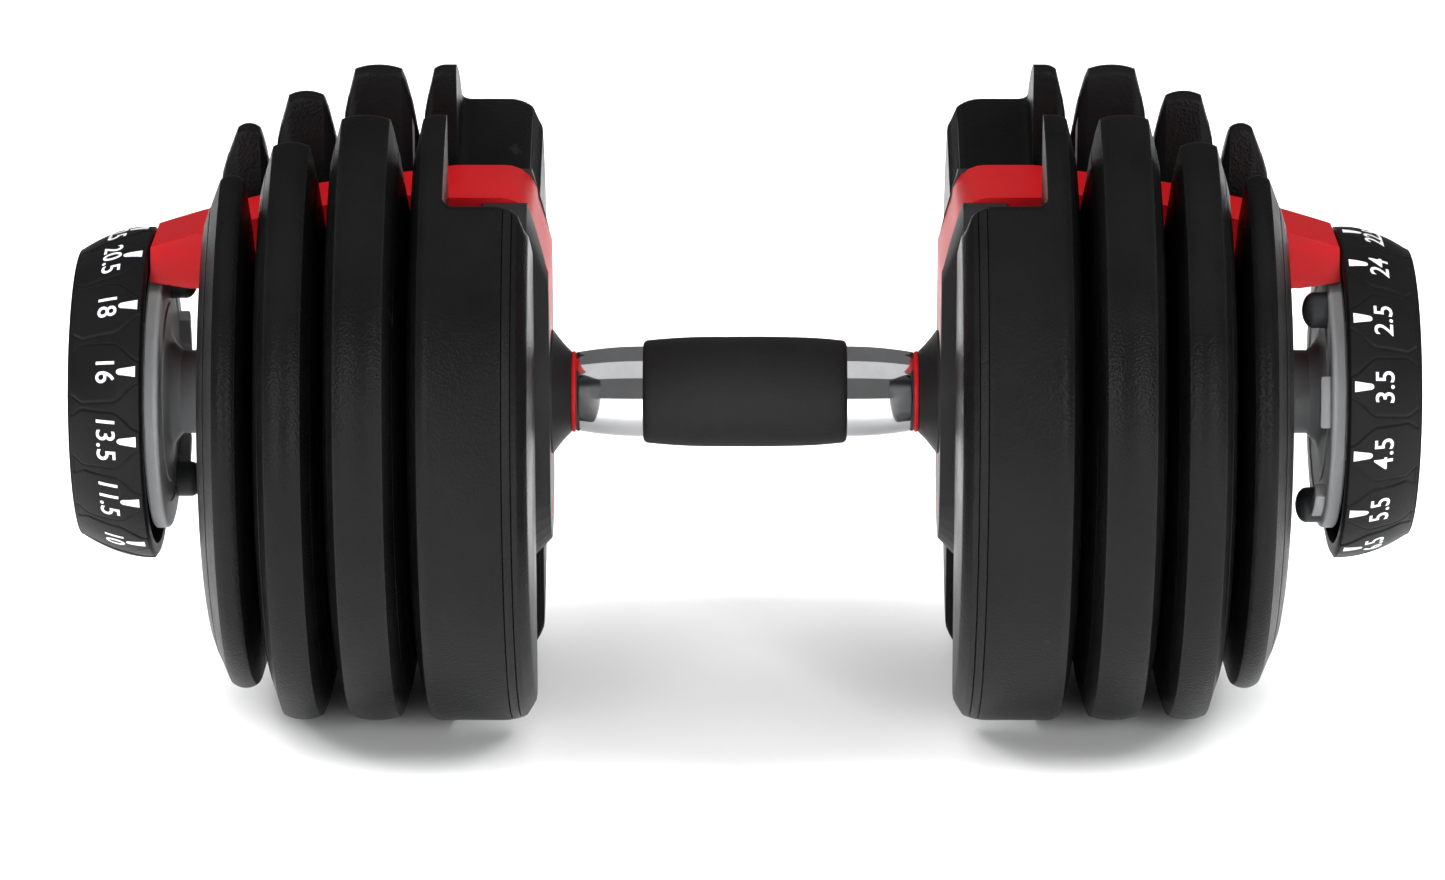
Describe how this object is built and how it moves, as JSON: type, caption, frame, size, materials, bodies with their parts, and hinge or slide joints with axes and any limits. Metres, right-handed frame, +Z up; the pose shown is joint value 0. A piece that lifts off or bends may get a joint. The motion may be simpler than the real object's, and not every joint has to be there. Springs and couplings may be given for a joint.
{
  "type": "adjustable dumbbell",
  "caption": "Adjustable dumbbell with a straight handle, hooked weight plates at both ends and turning weight dials outside them.",
  "frame": {"origin": "middle of the footprint, on the surface that the plates stand on", "axes": "+X along the handle, +Y away from the front view, +Z up through the open slots of the plates"},
  "size_m": [0.403, 0.2, 0.1947],
  "materials": {
    "plate_plastic": "satin",
    "black_plastic": "satin",
    "dial_plastic": "satin",
    "red_plastic": "satin",
    "grey_plastic": "satin",
    "grip_rubber": "matte",
    "chrome_tube": "polished",
    "steel_parts": "satin",
    "screw_steel": "gloss",
    "core_steel": "matte"
  },
  "bodies": {
    "handle": {"handle_tube": "chrome_tube", "grip_sleeve": "grip_rubber", "core_bar": "steel_parts", "collar_ring_left": "red_plastic", "collar_ring_right": "red_plastic", "collar_cone_left": "black_plastic", "collar_cone_right": "black_plastic", "bracket_housing_left": "black_plastic", "bracket_housing_right": "black_plastic", "bracket_plate_left": "steel_parts", "bracket_plate_right": "steel_parts", "bracket_screws_left": "screw_steel", "bracket_screws_right": "screw_steel", "face_inlays_left": "red_plastic", "face_inlays_right": "red_plastic", "top_arm_left": "red_plastic", "top_arm_right": "red_plastic", "arm_screws_left": "screw_steel", "arm_screws_right": "screw_steel", "detent_spring_left": "steel_parts", "detent_spring_right": "steel_parts", "thrust_washer_left": "steel_parts", "thrust_washer_right": "steel_parts", "end_bolt_left": "screw_steel", "end_bolt_right": "screw_steel"},
    "selector_left": {"spindle_tube_left": "grey_plastic", "selector_disc_1_left": "grey_plastic", "selector_disc_2_left": "grey_plastic", "selector_disc_3_left": "grey_plastic", "selector_disc_4_left": "grey_plastic", "dial_hub_left": "grey_plastic", "dial_ring_left": "dial_plastic", "dial_cap_left": "dial_plastic"},
    "detent_left": {"detent_ball_left": "screw_steel"},
    "plate_1_left": {"plate_1_left": "plate_plastic", "plate_core_1_left": "core_steel"},
    "plate_2_left": {"plate_2_left": "plate_plastic", "plate_core_2_left": "core_steel"},
    "plate_3_left": {"plate_3_left": "plate_plastic", "plate_core_3_left": "core_steel"},
    "plate_4_left": {"plate_4_left": "plate_plastic", "plate_core_4_left": "core_steel"},
    "selector_right": {"spindle_tube_right": "grey_plastic", "selector_disc_1_right": "grey_plastic", "selector_disc_2_right": "grey_plastic", "selector_disc_3_right": "grey_plastic", "selector_disc_4_right": "grey_plastic", "dial_hub_right": "grey_plastic", "dial_ring_right": "dial_plastic", "dial_cap_right": "dial_plastic"},
    "detent_right": {"detent_ball_right": "screw_steel"},
    "plate_1_right": {"plate_1_right": "plate_plastic", "plate_core_1_right": "core_steel"},
    "plate_2_right": {"plate_2_right": "plate_plastic", "plate_core_2_right": "core_steel"},
    "plate_3_right": {"plate_3_right": "plate_plastic", "plate_core_3_right": "core_steel"},
    "plate_4_right": {"plate_4_right": "plate_plastic", "plate_core_4_right": "core_steel"}
  },
  "joints": [
    {"name": "dial_turn_left", "type": "hinge", "parent": "handle", "child": "selector_left", "pos_m": [-0.19, 0, 0.09887], "axis": [1, 0, 0], "continuous": true},
    {"name": "detent_travel_left", "type": "slide", "parent": "handle", "child": "detent_left", "axis": [1, 0, 0], "range_m": [0, 0.0012], "stiffness_N_per_m": 1500, "deforming": ["detent_spring_left"]},
    {"name": "plate_1_drop_left", "type": "slide", "parent": "handle", "child": "plate_1_left", "axis": [0, 0, -1], "range_m": [0, 0.15]},
    {"name": "plate_2_drop_left", "type": "slide", "parent": "handle", "child": "plate_2_left", "axis": [0, 0, -1], "range_m": [0, 0.15]},
    {"name": "plate_3_drop_left", "type": "slide", "parent": "handle", "child": "plate_3_left", "axis": [0, 0, -1], "range_m": [0, 0.15]},
    {"name": "plate_4_drop_left", "type": "slide", "parent": "handle", "child": "plate_4_left", "axis": [0, 0, -1], "range_m": [0, 0.15]},
    {"name": "dial_turn_right", "type": "hinge", "parent": "handle", "child": "selector_right", "pos_m": [0.19, 0, 0.09887], "axis": [1, 0, 0], "continuous": true},
    {"name": "detent_travel_right", "type": "slide", "parent": "handle", "child": "detent_right", "axis": [-1, 0, 0], "range_m": [0, 0.0012], "stiffness_N_per_m": 1500, "deforming": ["detent_spring_right"]},
    {"name": "plate_1_drop_right", "type": "slide", "parent": "handle", "child": "plate_1_right", "axis": [0, 0, -1], "range_m": [0, 0.15]},
    {"name": "plate_2_drop_right", "type": "slide", "parent": "handle", "child": "plate_2_right", "axis": [0, 0, -1], "range_m": [0, 0.15]},
    {"name": "plate_3_drop_right", "type": "slide", "parent": "handle", "child": "plate_3_right", "axis": [0, 0, -1], "range_m": [0, 0.15]},
    {"name": "plate_4_drop_right", "type": "slide", "parent": "handle", "child": "plate_4_right", "axis": [0, 0, -1], "range_m": [0, 0.15]}
  ]
}
